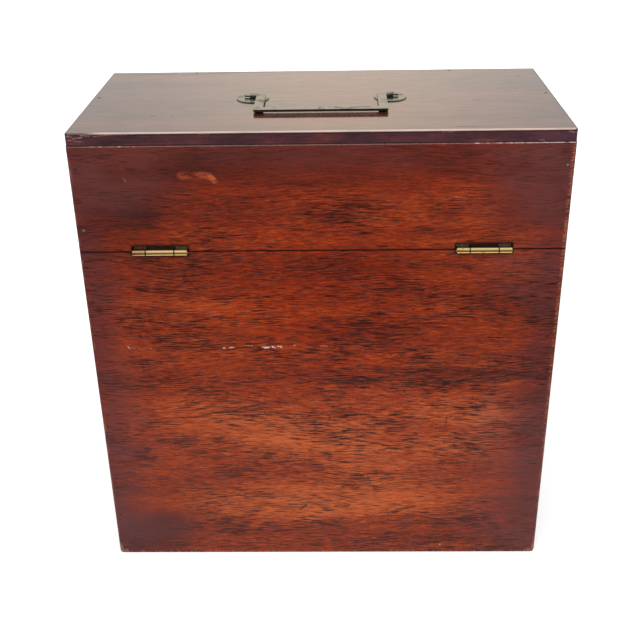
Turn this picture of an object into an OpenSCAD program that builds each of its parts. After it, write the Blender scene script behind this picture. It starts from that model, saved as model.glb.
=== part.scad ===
// Mahogany decanter box with a back-hinged lid, a swinging brass carrying handle and a box lock.
// Millimetres. The origin is the middle of the underside and +Z is up. The hinges are on the
// back, which faces -Y, and the lock side is the front, which faces +Y.

/* [Case and lid] */
// Outside width of the box
body_w = 278; // [240:1:330]
// Outside depth of the box
body_d = 138; // [120:1:170]
// Height of the case, from the floor to its rim
case_h = 220; // [190:1:260]
// Height of the lid, with its top board
lid_h = 69.6; // [55:0.1:95]
// Thickness of the four walls of the case and of the lid
wall_t = 8; // [7.5:0.1:10]
// Thickness of the top board
top_t = 7.4; // [5:0.1:9]
// Thickness of the bottom board
bottom_t = 6.4; // [4:0.1:9]
// Gap between the rim of the case and the closed lid
seam_gap = 0.4; // [0.2:0.05:0.6]
// Radius of the four upright corners
corner_r = 1.6; // [0.8:0.1:3]
// Radius of the worn lower edges of the side boards
foot_r = 2.9; // [1:0.1:3.5]
// Radius of the top board's upper edge
top_edge_r = 1.1; // [0.6:0.1:2.5]
// Radius of the top board's four corners seen from above
top_corner_r = 2.8; // [1:0.1:5]
// Bevel on the lower edge of the top board
seam_bevel = 0.3; // [0.1:0.05:0.6]
// Thickness of the lip that the front and back boards carry past the ends of the side boards
corner_lip = 4; // [3:0.1:5]
// How far the bottom board reaches into the walls
bottom_rebate = 4; // [2.5:0.1:5]

/* [Inside] */
// Thickness of the partition between the two decanter cells
divider_t = 6; // [4:0.1:9]
// Distance of the partition's top below the rim of the case
divider_drop = 46; // [36:1:90]
// Depth of the grooves that hold the partition in the front and back boards
groove_depth = 1.6; // [1:0.1:2.5]
// How far the scoop in the partition's upper edge dips
scoop_depth = 20; // [10:1:35]
// Width of that scoop
scoop_w = 84; // [60:1:100]
// Thickness of the baize pad on the floor of each cell
pad_t = 3; // [2:0.1:6]
// Thickness of the baize-covered panel inside the top of the lid
lining_t = 2.6; // [1.5:0.1:5]

/* [Hinges] */
// Length of each hinge
hinge_len = 31.1; // [25:0.05:40]
// Distance of each hinge's middle from the end of the box
hinge_inset = 46.7; // [32:0.1:75]
// Radius of the hinge knuckles
knuckle_r = 1.9; // [1.9:0.05:2.3]
// Length of the middle knuckle
mid_knuckle_len = 16.4; // [12:0.1:20]
// Radius of the hinge pin
hinge_pin_r = 0.9; // [0.7:0.05:1.1]
// Thickness of a hinge leaf
leaf_t = 1.1; // [0.9:0.05:1.3]
// Width of a hinge leaf on the wood
leaf_w = 6.3; // [5.5:0.1:6.8]
// How far the hinge axis stands out from the back of the box
axis_proud = 1.6; // [1.3:0.05:1.8]
// Distance of a hinge screw from the middle of its leaf
hinge_screw_x = 10.2; // [7:0.1:10.5]
// How far the notch in the lid reaches above the hinge knuckles
notch_rise = 1.4; // [0.4:0.1:4]
// How deep that notch goes into the back of the lid
notch_depth = 2; // [0.6:0.1:2.1]
// How far that notch reaches past each end of the hinge
notch_margin = 0.7; // [0.1:0.1:2]

/* [Handle] */
// Outside width of the handle's bail
bail_w = 77.2; // [70:0.2:100]
// Reach of the bail, from its pivot axis to the outside of its grip
bail_reach = 33.4; // [28:0.2:45]
// Width of the flat strap that the bail is made of
strap_w = 5.3; // [4.5:0.1:7]
// Thickness of that strap
strap_t = 1.4; // [1.3:0.05:1.5]
// Place of the bail's pivot axis, from the middle of the lid towards the front
pivot_y = -1; // [-6:0.5:6]
// Height of the pivot axis above the top board
pivot_h = 1.75; // [1.7:0.05:2.1]
// Radius of the round pintles at the ends of the bail
pintle_r = 0.65; // [0.55:0.05:0.65]
// How far a pintle stands out of its barrel
pintle_end = 3.2; // [1:0.1:4]
// Radius of the barrel on a handle plate
barrel_r = 1.6; // [1.3:0.05:1.65]
// Length of that barrel
barrel_len = 3.8; // [3:0.1:5]
// Diameter of the round plate that carries the barrel
plate_d = 19.6; // [18:0.1:22]
// Thickness of that plate
plate_t = 0.8; // [0.6:0.05:0.85]
// Distance of each screw in a handle plate from the pivot axis
plate_screw_y = 5.9; // [5.4:0.1:6.4]

/* [Lock] */
// Width of the lock's back plate and selvedge
lock_w = 52; // [50:0.5:60]
// Height of the lock, from the rim of the case down
lock_h = 30.5; // [30:0.5:32]
// Width of the lock's cap
cap_w = 42; // [40.5:0.5:43]
// Clear depth inside the cap
cavity_d = 3.8; // [3.6:0.1:4]
// Thickness of the brass back plate
lock_plate_t = 1.2; // [1:0.1:1.3]
// Thickness of the selvedge and of the link plate
selvedge_t = 1.5; // [1.2:0.1:1.8]
// Width of the selvedge and of the link plate
selvedge_w = 6.5; // [6:0.1:6.8]
// Thickness of the cap's sheet brass
cap_t = 0.8; // [0.6:0.1:1]
// Distance of each link from the middle of the box
link_x = 10; // [9.5:0.1:10.3]
// How far the links hang below the link plate
link_drop = 7.6; // [7.2:0.1:8]
// Travel of the bolt
bolt_travel = 4; // [3.6:0.1:4.2]
// Distance of the keyhole's round below the rim
key_drop = 20; // [19.5:0.1:20.5]
// Radius of the keyhole's round
key_r = 2.2; // [1.8:0.1:2.5]
// Depth of the brass keyhole liner
liner_depth = 1.8; // [1.2:0.1:2]

/* [Fasteners] */
// Radius of a brad's shank
brad_r = 0.6; // [0.5:0.05:0.8]
// Length of a brad
brad_len = 15; // [12:0.5:18]
// How far the brads' heads are punched below the surface
brad_sink = 0.4; // [0.2:0.1:0.8]
// Distance of the brads along the long edges from the ends of the box
brad_inset = 56; // [30:1:95]
// Place of the brad in each end of the top board, from the middle towards the front
end_brad_y = 5; // [-20:1:20]
// Distance of the outer brads in a corner of the case from its floor and from its rim
case_brad_end = 32; // [24:1:60]
// The same distance in the lid, from its rim and from the top board
lid_brad_end = 13; // [8:0.2:20]
// Radius of a wood screw's shank
screw_r = 0.8; // [0.7:0.05:1]
// Radius of a wood screw's countersunk head
screw_head_r = 1.6; // [1.4:0.05:1.8]

/* [Hidden] */
$fn = 48;

// Clearance round a piece that is let into another, round a running pin, and beside cloth
fit_gap = 0.1;
run_gap = 0.05;
cloth_gap = 0.3;
// Overshoot of a cut past the face it opens
cut = 1;

hinge_x = body_w / 2 - hinge_inset;
brad_x = body_w / 2 - brad_inset;
divider_h = case_h - bottom_t - divider_drop;
inner_w = body_w - 2 * wall_t;
inner_d = body_d - 2 * wall_t;
lid_z = case_h + seam_gap;
top_z = lid_z + lid_h;
frame_top_z = top_z - top_t;
front_y = body_d / 2;
back_y = -body_d / 2;
inner_front_y = inner_d / 2;
side_mid_x = (body_w - wall_t) / 2;

axis_y = back_y - axis_proud;
axis_z = case_h + seam_gap / 2;
side_knuckle_len = (hinge_len - mid_knuckle_len) / 2;
knuckle_gap = 0.3;
knuckle_room = 0.2;
pin_tip = 0.4;
leaf_screw_y = back_y + leaf_w / 2;
long_screw_len = 9;

arm_x = (bail_w - strap_w) / 2;
barrel_x = bail_w / 2 + 0.4;
pivot_z = top_z + pivot_h;
plate_x = barrel_x + barrel_len / 2 + 0.2;
plate_screw_len = 5;

lock_z = case_h - lock_h;
cap_z = lock_z + 2;
selvedge_z = case_h - selvedge_t;
cavity_back_y = inner_front_y + lock_plate_t;
cavity_front_y = cavity_back_y + cavity_d;
cavity_y = cavity_back_y + cavity_d / 2;
link_w = cavity_d - 0.6;
link_t = 2.6;
link_wall = 0.8;
link_low_z = lid_z - link_drop;
finger_len = 5;
finger_h = 2.6;
finger_z = link_low_z + link_wall + 0.5;
bolt_t = 1.2;
post_w = 2.4;
bolt_side_room = 0.4;
key_z = case_h - key_drop;
key_slot_w = 2.2;
key_slot_drop = 6.5;
liner_wall = 1.2;
drill_pin_r = 0.9;
bar_z = key_z + key_r + 1.2;
bar_h = 5.2;
stump_r = 1;
stump_x = [-7, 9.5];
selvedge_screw_x = lock_w / 2 - 3.4;
lock_screw_x = cap_w / 2 + (lock_w - cap_w) / 4;
short_screw_len = 5;

brad_head_r = 1.5 * brad_r;
brad_head_t = 1;
bottom_brad_inset = wall_t - bottom_rebate / 2;
case_brad_z = [case_brad_end, case_h / 2, case_h - case_brad_end];
lid_brad_z = [lid_z + lid_brad_end, frame_top_z - lid_brad_end];

// Colours
wood = [0.40, 0.12, 0.07];
wood_top = [0.50, 0.24, 0.17];
wood_inside = [0.46, 0.17, 0.10];
pine = [0.62, 0.44, 0.28];
brass = [0.66, 0.55, 0.32];
old_brass = [0.52, 0.48, 0.36];
steel = [0.36, 0.34, 0.32];
baize = [0.08, 0.24, 0.14];

// A block between two corners
module block(low, high) {
  translate(low) cube(high - low);
}

// Round bars along +X and along +Y, from a point
module bar_x(at, r, len) {
  translate(at) rotate([0, 90, 0]) cylinder(r = r, h = len);
}
module bar_y(at, r, len) {
  translate(at) rotate([-90, 0, 0]) cylinder(r = r, h = len);
}

// The outline of the box seen from above, with corners of that radius
module plan_outline(r) {
  square([body_w - 2 * r, body_d], center = true);
  square([body_w, body_d - 2 * r], center = true);
  for (x = [-1, 1], y = [-1, 1])
    translate([x * (body_w / 2 - r), y * (body_d / 2 - r)]) circle(r);
}

// A front or back board seen from above, rebated at each end for the side boards
module long_board_plan(side) {
  intersection() {
    plan_outline(corner_r);
    difference() {
      translate([0, side * (body_d - wall_t) / 2]) square([body_w, wall_t], center = true);
      for (x = [-1, 1]) side_board_plan(x);
    }
  }
}

// A side board seen from above, between the lips of the long boards
module side_board_plan(side) {
  translate([side * side_mid_x, 0]) square([wall_t, body_d - 2 * corner_lip], center = true);
}

// The room of the case, with the lower edges of its two ends rounded by wear
module case_room() {
  rotate([90, 0, 0]) linear_extrude(2 * body_d, center = true) {
    translate([-body_w / 2, foot_r]) square([body_w, case_h - foot_r]);
    translate([-body_w / 2 + foot_r, 0]) square([body_w - 2 * foot_r, case_h]);
    for (x = [-1, 1]) translate([x * (body_w / 2 - foot_r), foot_r]) circle(foot_r);
  }
}

// A brad along +Z with the top of its head at the origin
module brad() {
  translate([0, 0, -brad_len]) cylinder(r = brad_r, h = brad_len);
  translate([0, 0, -brad_head_t]) cylinder(r = brad_head_r, h = brad_head_t);
}

// The hole for that brad, open above the head
module brad_hole() {
  translate([0, 0, -brad_len - fit_gap]) cylinder(r = brad_r + fit_gap, h = brad_len);
  translate([0, 0, -brad_head_t - fit_gap])
    cylinder(r = brad_head_r + fit_gap, h = brad_head_t + fit_gap + brad_sink + cut);
}

// A countersunk wood screw along +Z with the top of its head at the origin
module screw(len) {
  slot_w = 0.5;
  slot_depth = 0.45;
  difference() {
    union() {
      translate([0, 0, -len]) cylinder(r = screw_r, h = len - screw_head_r);
      translate([0, 0, -screw_head_r])
        cylinder(r1 = screw_r, r2 = screw_head_r, h = screw_head_r - screw_r);
      translate([0, 0, -screw_r]) cylinder(r = screw_head_r, h = screw_r);
    }
    translate([-screw_head_r, -slot_w / 2, -slot_depth]) cube([2 * screw_head_r, slot_w, cut]);
  }
}

// The hole for that screw
module screw_hole(len) {
  translate([0, 0, -len - fit_gap]) cylinder(r = screw_r + fit_gap, h = len);
  translate([0, 0, -screw_head_r])
    cylinder(r1 = screw_r + fit_gap, r2 = screw_head_r + fit_gap, h = screw_head_r - screw_r);
  translate([0, 0, -screw_r]) cylinder(r = screw_head_r + fit_gap, h = screw_r + cut);
}

// Places of the brads, with +Z out of the wood
module at_corner_brads(heights) {
  for (x = [-1, 1], y = [-1, 1], z = heights)
    translate([x * side_mid_x, y * (body_d / 2 - brad_sink), z]) rotate([-90 * y, 0, 0]) children();
}
module at_top_brads() {
  for (x = [-1, 1]) {
    translate([x * side_mid_x, end_brad_y, top_z - brad_sink]) children();
    translate([x * brad_x, (body_d - wall_t) / 2, top_z - brad_sink]) children();
  }
}
module at_bottom_brads() {
  for (x = [-1, 1]) {
    translate([x * (body_w / 2 - bottom_brad_inset), 0, brad_sink]) mirror([0, 0, 1]) children();
    for (y = [-1, 1])
      translate([x * brad_x, y * (body_d / 2 - bottom_brad_inset), brad_sink])
        mirror([0, 0, 1]) children();
  }
}

// The bottom board, or with no gap the pocket for it in the walls
module bottom_room(gap) {
  reach = bottom_rebate - gap;
  block([-inner_w / 2 - reach, -inner_d / 2 - reach, gap > 0 ? 0 : -cut],
        [inner_w / 2 + reach, inner_d / 2 + reach, bottom_t]);
}

// The partition's upright shape, or its grooves when grown
module divider_room(grow) {
  block([-divider_t / 2 - grow, -inner_d / 2 - groove_depth, bottom_t],
        [divider_t / 2 + grow, inner_d / 2 + groove_depth, bottom_t + divider_h + grow]);
}

// What every wall of the case has cut out of it
module case_wall_cuts() {
  bottom_room(0);
  at_corner_brads(case_brad_z) brad_hole();
  at_bottom_brads() brad_hole();
}

module case_long_board(side) {
  difference() {
    intersection() {
      linear_extrude(case_h) long_board_plan(side);
      case_room();
    }
    case_wall_cuts();
    divider_room(fit_gap);
  }
}

module case_back() {
  color(wood) difference() {
    case_long_board(-1);
    for (side = [-1, 1]) at_hinge(side) {
      hinge_gain(false);
      at_leaf_screws(false) screw_hole(long_screw_len);
    }
  }
}

module case_front() {
  color(wood) difference() {
    case_long_board(1);
    lock_mortise();
    at_lock_screws() screw_hole(short_screw_len);
    keyhole(inner_front_y, wall_t + cut, 0);
    keyhole(front_y - liner_depth, liner_depth + cut, liner_wall);
  }
}

module case_side_board(side) {
  color(wood) difference() {
    intersection() {
      linear_extrude(case_h) side_board_plan(side);
      case_room();
    }
    case_wall_cuts();
  }
}
module case_left() { case_side_board(-1); }
module case_right() { case_side_board(1); }

module case_bottom() {
  color(pine) difference() {
    bottom_room(fit_gap);
    at_bottom_brads() brad_hole();
  }
}

module cell_divider() {
  scoop_r = (scoop_depth * scoop_depth + scoop_w * scoop_w / 4) / (2 * scoop_depth);
  color(wood_inside) difference() {
    divider_room(0);
    bar_x([-divider_t, 0, bottom_t + divider_h - scoop_depth + scoop_r], scoop_r, 2 * divider_t);
  }
}

// A baize pad on the floor of one cell
module cell_pad(side) {
  near = divider_t / 2 + cloth_gap;
  far = inner_w / 2 - cloth_gap;
  color(baize)
    block([side > 0 ? near : -far, -inner_d / 2 + cloth_gap, bottom_t],
          [side > 0 ? far : -near, inner_d / 2 - cloth_gap, bottom_t + pad_t]);
}
module cell_pad_left() { cell_pad(-1); }
module cell_pad_right() { cell_pad(1); }

module case_corner_brads() { color(steel) at_corner_brads(case_brad_z) brad(); }
module case_bottom_brads() { color(steel) at_bottom_brads() brad(); }

// Places of the two hinges
module at_hinge(side) {
  translate([side * hinge_x, 0, 0]) children();
}

// The recess that a hinge needs in the lid, or in the case, with the tall notch over the knuckles
module hinge_gain(in_lid) {
  half = hinge_len / 2 + fit_gap;
  if (in_lid)
    block([-half - notch_margin, back_y - cut, lid_z - cut],
          [half + notch_margin, back_y + notch_depth, axis_z + knuckle_r + notch_rise]);
  block([-half, back_y - cut, in_lid ? lid_z - cut : case_h - leaf_t],
        [half, back_y + leaf_w + fit_gap, in_lid ? lid_z + leaf_t : case_h + cut]);
  bar_x([-half, axis_y, axis_z], knuckle_r + knuckle_room, 2 * half);
}

// Places of a leaf's two screws, with +Z out of the wood
module at_leaf_screws(in_lid) {
  for (x = [-1, 1])
    translate([x * hinge_screw_x, leaf_screw_y, in_lid ? lid_z : case_h])
      mirror([0, 0, in_lid ? 1 : 0]) children();
}

// One leaf of a hinge: the case's leaf carries the middle knuckle, the lid's leaf the outer two
module hinge_leaf(in_lid) {
  low = in_lid ? lid_z : case_h - leaf_t;
  half = hinge_len / 2;
  mid = mid_knuckle_len / 2;
  room_r = knuckle_r + knuckle_room;
  color(brass) difference() {
    union() {
      block([-half, axis_y, low], [half, back_y + leaf_w, low + leaf_t]);
      if (in_lid)
        for (x = [-half, mid]) bar_x([x, axis_y, axis_z], knuckle_r, side_knuckle_len);
      else
        bar_x([-mid + knuckle_gap, axis_y, axis_z], knuckle_r, mid_knuckle_len - 2 * knuckle_gap);
    }
    if (in_lid)
      bar_x([-mid, axis_y, axis_z], room_r, mid_knuckle_len);
    else
      for (x = [-half - cut, mid - knuckle_gap])
        bar_x([x, axis_y, axis_z], room_r, side_knuckle_len + cut + knuckle_gap);
    bar_x([-half - cut, axis_y, axis_z], hinge_pin_r + run_gap, hinge_len + 2 * cut);
    at_leaf_screws(in_lid) screw_hole(long_screw_len);
  }
}

// A hinge pin with both its ends bevelled
module hinge_pin() {
  color(brass) {
    bar_x([-hinge_len / 2, axis_y, axis_z], hinge_pin_r, hinge_len);
    for (x = [-1, 1])
      translate([x * hinge_len / 2, axis_y, axis_z]) rotate([0, x * 90, 0])
        cylinder(r1 = hinge_pin_r, r2 = hinge_pin_r - pin_tip, h = pin_tip);
  }
}

module hinge_case_leaf_left() { at_hinge(-1) hinge_leaf(false); }
module hinge_case_leaf_right() { at_hinge(1) hinge_leaf(false); }
module hinge_lid_leaf_left() { at_hinge(-1) hinge_leaf(true); }
module hinge_lid_leaf_right() { at_hinge(1) hinge_leaf(true); }
module hinge_pin_left() { at_hinge(-1) hinge_pin(); }
module hinge_pin_right() { at_hinge(1) hinge_pin(); }
module hinge_case_screws() {
  color(brass) for (side = [-1, 1]) at_hinge(side) at_leaf_screws(false) screw(long_screw_len);
}
module hinge_lid_screws() {
  color(brass) for (side = [-1, 1]) at_hinge(side) at_leaf_screws(true) screw(long_screw_len);
}

// A keyhole that runs along +Y from a depth: a round over a slot with a round end
module keyhole(from_y, depth, grow) {
  half = key_slot_w / 2;
  translate([0, from_y, key_z]) rotate([-90, 0, 0]) linear_extrude(depth) mirror([0, 1]) {
    circle(key_r + grow);
    translate([-half - grow, half - key_slot_drop])
      square([2 * (half + grow), key_slot_drop - half]);
    translate([0, half - key_slot_drop]) circle(half + grow);
  }
}

module keyhole_liner() {
  color(brass) difference() {
    keyhole(front_y - liner_depth, liner_depth, liner_wall - fit_gap / 2);
    keyhole(front_y - liner_depth - cut, liner_depth + 2 * cut, 0);
  }
}

// The space that the lock takes in the front board
module lock_mortise() {
  half = lock_w / 2 + fit_gap;
  cap_half = cap_w / 2 + fit_gap;
  block([-half, inner_front_y - cut, lock_z - fit_gap], [half, cavity_back_y + fit_gap, case_h + cut]);
  block([-half, inner_front_y - cut, selvedge_z],
        [half, inner_front_y + selvedge_w + fit_gap, case_h + cut]);
  block([-cap_half, inner_front_y, cap_z - fit_gap],
        [cap_half, cavity_front_y + cap_t + fit_gap, case_h]);
}

// Places of the lock's screws: two down through the selvedge, two level through the back plate
module at_lock_screws() {
  for (x = [-1, 1]) {
    translate([x * selvedge_screw_x, inner_front_y + selvedge_w / 2, case_h]) children();
    translate([x * lock_screw_x, inner_front_y, lock_z + 4]) rotate([90, 0, 0]) children();
  }
}

// The two slots that the links pass through
module link_slots(low, high) {
  half = link_t / 2 + 0.5;
  for (x = [-1, 1])
    block([x * link_x - half, cavity_back_y, low], [x * link_x + half, cavity_front_y, high]);
}

// The back plate with the selvedge along its top
module lock_plate() {
  color(brass) difference() {
    union() {
      block([-lock_w / 2, inner_front_y, lock_z], [lock_w / 2, cavity_back_y, case_h]);
      block([-lock_w / 2, inner_front_y, selvedge_z], [lock_w / 2, inner_front_y + selvedge_w, case_h]);
    }
    link_slots(selvedge_z - cut, case_h + cut);
    at_lock_screws() screw_hole(short_screw_len);
    bar_y([0, inner_front_y - cut, key_z], drill_pin_r + run_gap, lock_plate_t + 2 * cut);
  }
}

// The shallow brass cap that covers the works, open towards the back plate
module lock_cap() {
  color(brass) difference() {
    block([-cap_w / 2, cavity_back_y, cap_z], [cap_w / 2, cavity_front_y + cap_t, selvedge_z]);
    block([-cap_w / 2 + cap_t, cavity_back_y - cut, cap_z + cap_t],
          [cap_w / 2 - cap_t, cavity_front_y, selvedge_z - cap_t]);
    link_slots(selvedge_z - cap_t - cut, selvedge_z + cut);
    keyhole(cavity_front_y - cut, cap_t + 2 * cut, 0);
  }
}

// The fixed pin that a pipe key turns on
module lock_drill_pin() {
  color(steel) bar_y([0, inner_front_y, key_z], drill_pin_r, cavity_front_y - inner_front_y);
}

// The two studs that the bolt slides on
module lock_stumps() {
  color(steel) for (x = stump_x) bar_y([x, cavity_back_y, bar_z + bar_h / 2], stump_r, cavity_d);
}

// The sliding bolt: a slotted bar with a talon for the key, and two posts with a finger each
module lock_bolt() {
  talon_r = 2.4;
  slot_r = stump_r + run_gap;
  slot_z = bar_z + bar_h / 2;
  reach = link_t / 2 + bolt_side_room;
  left_y = cavity_y - bolt_t / 2;
  color(steel) difference() {
    union() {
      for (x = [-link_x, link_x]) {
        block([x - reach - finger_len, left_y, finger_z],
              [x - reach, left_y + bolt_t, finger_z + finger_h]);
        block([x - reach - finger_len - post_w, left_y, bar_z],
              [x - reach - finger_len, left_y + bolt_t, finger_z + finger_h]);
      }
      block([-link_x - reach - finger_len - post_w, left_y, bar_z],
            [stump_x[1] + 2.5, left_y + bolt_t, bar_z + bar_h]);
    }
    bar_y([-bolt_travel / 2, left_y - cut, bar_z], talon_r, bolt_t + 2 * cut);
    for (x = stump_x) {
      block([x - bolt_travel, left_y - cut, slot_z - slot_r], [x, left_y + bolt_t + cut, slot_z + slot_r]);
      for (end_x = [x - bolt_travel, x]) bar_y([end_x, left_y - cut, slot_z], slot_r, bolt_t + 2 * cut);
    }
  }
}

module lock_screws() { color(brass) at_lock_screws() screw(short_screw_len); }

// Places of the link plate's screws, with +Z out of the lid's lower edge
module at_link_screws() {
  for (x = [-1, 1])
    translate([x * selvedge_screw_x, inner_front_y + selvedge_w / 2, lid_z])
      mirror([0, 0, 1]) children();
}

// The plate under the lid with the two links that the bolt's fingers enter
module link_plate() {
  half_w = link_w / 2;
  hole_half = half_w - link_wall;
  color(brass) difference() {
    union() {
      block([-lock_w / 2, inner_front_y, lid_z],
            [lock_w / 2, inner_front_y + selvedge_w, lid_z + selvedge_t]);
      for (x = [-link_x, link_x])
        block([x - link_t / 2, cavity_y - half_w, link_low_z],
              [x + link_t / 2, cavity_y + half_w, lid_z + selvedge_t / 2]);
    }
    for (x = [-link_x, link_x])
      block([x - link_t, cavity_y - hole_half, link_low_z + link_wall],
            [x + link_t, cavity_y + hole_half, finger_z + finger_h + 0.5]);
    at_link_screws() screw_hole(long_screw_len);
  }
}
module link_plate_screws() { color(brass) at_link_screws() screw(long_screw_len); }

module lid_long_board(side) {
  difference() {
    translate([0, 0, lid_z]) linear_extrude(frame_top_z - lid_z) long_board_plan(side);
    at_corner_brads(lid_brad_z) brad_hole();
    at_top_brads() brad_hole();
  }
}

module lid_back() {
  color(wood) difference() {
    lid_long_board(-1);
    for (side = [-1, 1]) at_hinge(side) {
      hinge_gain(true);
      at_leaf_screws(true) screw_hole(long_screw_len);
    }
  }
}

module lid_front() {
  half = lock_w / 2 + fit_gap;
  color(wood) difference() {
    lid_long_board(1);
    block([-half, inner_front_y - cut, lid_z - cut],
          [half, inner_front_y + selvedge_w + fit_gap, lid_z + selvedge_t]);
    at_link_screws() screw_hole(long_screw_len);
  }
}

module lid_side_board(side) {
  color(wood) difference() {
    translate([0, 0, lid_z]) linear_extrude(frame_top_z - lid_z) side_board_plan(side);
    at_corner_brads(lid_brad_z) brad_hole();
    at_top_brads() brad_hole();
  }
}
module lid_left() { lid_side_board(-1); }
module lid_right() { lid_side_board(1); }

// The upright section of the top board: bevelled below, with its upper edges rounded
module top_section(width) {
  half = width / 2;
  round_x = half - top_edge_r;
  round_z = top_t - top_edge_r;
  polygon([[seam_bevel - half, 0], [half - seam_bevel, 0], [half, seam_bevel], [half, round_z],
           [round_x, top_t], [-round_x, top_t], [-half, round_z], [-half, seam_bevel]]);
  for (x = [-round_x, round_x]) translate([x, round_z]) circle(top_edge_r);
}

module lid_top() {
  color(wood_top) difference() {
    translate([0, 0, frame_top_z]) intersection() {
      linear_extrude(top_t) plan_outline(top_corner_r);
      rotate([90, 0, 0]) linear_extrude(2 * body_d, center = true) top_section(body_w);
      rotate([90, 0, 90]) linear_extrude(2 * body_w, center = true) top_section(body_d);
    }
    at_top_brads() brad_hole();
    at_plate_screws() screw_hole(plate_screw_len);
  }
}

module lid_lining() {
  color(baize)
    block([-inner_w / 2 + cloth_gap, -inner_d / 2 + cloth_gap, frame_top_z - lining_t],
          [inner_w / 2 - cloth_gap, inner_d / 2 - cloth_gap, frame_top_z]);
}

module lid_corner_brads() { color(steel) at_corner_brads(lid_brad_z) brad(); }
module lid_top_brads() { color(steel) at_top_brads() brad(); }

// Places of the handle plates' screws
module at_plate_screws() {
  for (x = [-1, 1], y = [-1, 1])
    translate([x * plate_x, pivot_y + y * plate_screw_y, top_z + plate_t]) children();
}

// A round plate with a bevelled rim, and the barrel for the bail's pintle across it
module handle_plate(side) {
  bevel = plate_t / 2;
  inner_end = side > 0 ? barrel_x : -barrel_x - barrel_len;
  color(old_brass) difference() {
    union() {
      translate([side * plate_x, pivot_y, top_z]) {
        cylinder(d = plate_d, h = plate_t - bevel, $fn = 96);
        translate([0, 0, plate_t - bevel])
          cylinder(d1 = plate_d, d2 = plate_d - 2 * bevel, h = bevel, $fn = 96);
      }
      bar_x([inner_end, pivot_y, pivot_z], barrel_r, barrel_len);
    }
    bar_x([inner_end - cut, pivot_y, pivot_z], pintle_r + run_gap, barrel_len + 2 * cut);
    at_plate_screws() screw_hole(plate_screw_len);
  }
}
module handle_plate_left() { handle_plate(-1); }
module handle_plate_right() { handle_plate(1); }
module handle_plate_screws() { color(old_brass) at_plate_screws() screw(plate_screw_len); }

// The bail seen from above, folded back: outside its corners are eased, inside they are rounded
module bail_outline() {
  corner_out_r = 1.5;
  half = bail_w / 2;
  translate([-half, corner_out_r - bail_reach]) square([bail_w, bail_reach - corner_out_r]);
  translate([corner_out_r - half, -bail_reach]) square([bail_w - 2 * corner_out_r, bail_reach]);
  for (x = [-1, 1])
    translate([x * (half - corner_out_r), corner_out_r - bail_reach]) circle(corner_out_r);
}
module bail_window() {
  corner_in_r = 1.2;
  half = bail_w / 2 - strap_w;
  far = bail_reach - strap_w;
  translate([-half, corner_in_r - far]) square([2 * half, far]);
  translate([corner_in_r - half, -far]) square([2 * (half - corner_in_r), far]);
  for (x = [-1, 1]) translate([x * (half - corner_in_r), corner_in_r - far]) circle(corner_in_r);
}

// The flat bail with a round eye and a pintle on the end of each arm
module handle_bail() {
  eye_r = pivot_h - plate_t - fit_gap;
  pintle_len = barrel_x - bail_w / 2 + barrel_len + pintle_end;
  color(old_brass) {
    translate([0, pivot_y, pivot_z - strap_t / 2]) linear_extrude(strap_t) difference() {
      bail_outline();
      bail_window();
    }
    for (x = [-1, 1]) {
      bar_x([x * arm_x - strap_w / 2, pivot_y, pivot_z], eye_r, strap_w);
      translate([x * bail_w / 2, pivot_y, pivot_z]) rotate([0, x * 90, 0])
        translate([0, 0, -cut]) cylinder(r = pintle_r, h = pintle_len + cut);
    }
  }
}

case_back();
case_front();
case_left();
case_right();
case_bottom();
cell_divider();
cell_pad_left();
cell_pad_right();
case_corner_brads();
case_bottom_brads();
hinge_case_leaf_left();
hinge_case_leaf_right();
hinge_case_screws();
lock_plate();
lock_cap();
lock_drill_pin();
lock_stumps();
lock_bolt();
lock_screws();
keyhole_liner();
lid_back();
lid_front();
lid_left();
lid_right();
lid_top();
lid_lining();
lid_corner_brads();
lid_top_brads();
hinge_lid_leaf_left();
hinge_lid_leaf_right();
hinge_pin_left();
hinge_pin_right();
hinge_lid_screws();
link_plate();
link_plate_screws();
handle_plate_left();
handle_plate_right();
handle_plate_screws();
handle_bail();
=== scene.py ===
"""The looks of a mahogany decanter box: polished boards, brass hinges and handle, baize inside.

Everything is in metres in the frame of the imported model: +Z is up, the hinges are on the back,
which faces -Y, and the origin is the middle of the underside.
"""
import math

import bmesh
import bpy
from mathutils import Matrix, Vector, noise


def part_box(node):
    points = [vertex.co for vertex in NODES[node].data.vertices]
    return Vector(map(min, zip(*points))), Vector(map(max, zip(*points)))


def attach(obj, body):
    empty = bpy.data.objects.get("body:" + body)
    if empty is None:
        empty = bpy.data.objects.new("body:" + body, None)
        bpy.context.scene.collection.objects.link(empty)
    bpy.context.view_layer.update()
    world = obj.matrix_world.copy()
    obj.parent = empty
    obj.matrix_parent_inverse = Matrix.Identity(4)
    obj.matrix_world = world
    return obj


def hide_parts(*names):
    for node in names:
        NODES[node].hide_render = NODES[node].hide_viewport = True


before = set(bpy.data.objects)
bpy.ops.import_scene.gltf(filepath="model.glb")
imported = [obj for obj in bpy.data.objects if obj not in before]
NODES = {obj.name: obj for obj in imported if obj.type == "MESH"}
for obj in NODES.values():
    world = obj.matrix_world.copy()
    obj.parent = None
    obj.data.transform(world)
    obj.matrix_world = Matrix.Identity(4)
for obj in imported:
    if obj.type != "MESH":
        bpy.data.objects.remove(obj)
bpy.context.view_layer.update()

MM = 0.001

# Sizes read from the frame
case_low, case_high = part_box("case_back")
top_low, top_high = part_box("lid_top")
HALF_W = case_high.x
BACK_Y = case_low.y
HALF_D = -BACK_Y
CASE_H = case_high.z
LID_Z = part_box("lid_back")[0].z
BOARD_Z = top_low.z
TOP_Z = top_high.z
WALL = case_high.y - case_low.y

# The camera of the photograph
CAMERA_PLACE = (9.56 * MM, -591.77 * MM, 446.11 * MM)
CAMERA_TURN_DEG = (62.631, 0.846, 0.788)
CAMERA_LENS = 56.013
CAMERA_SENSOR = 36.0


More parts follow.
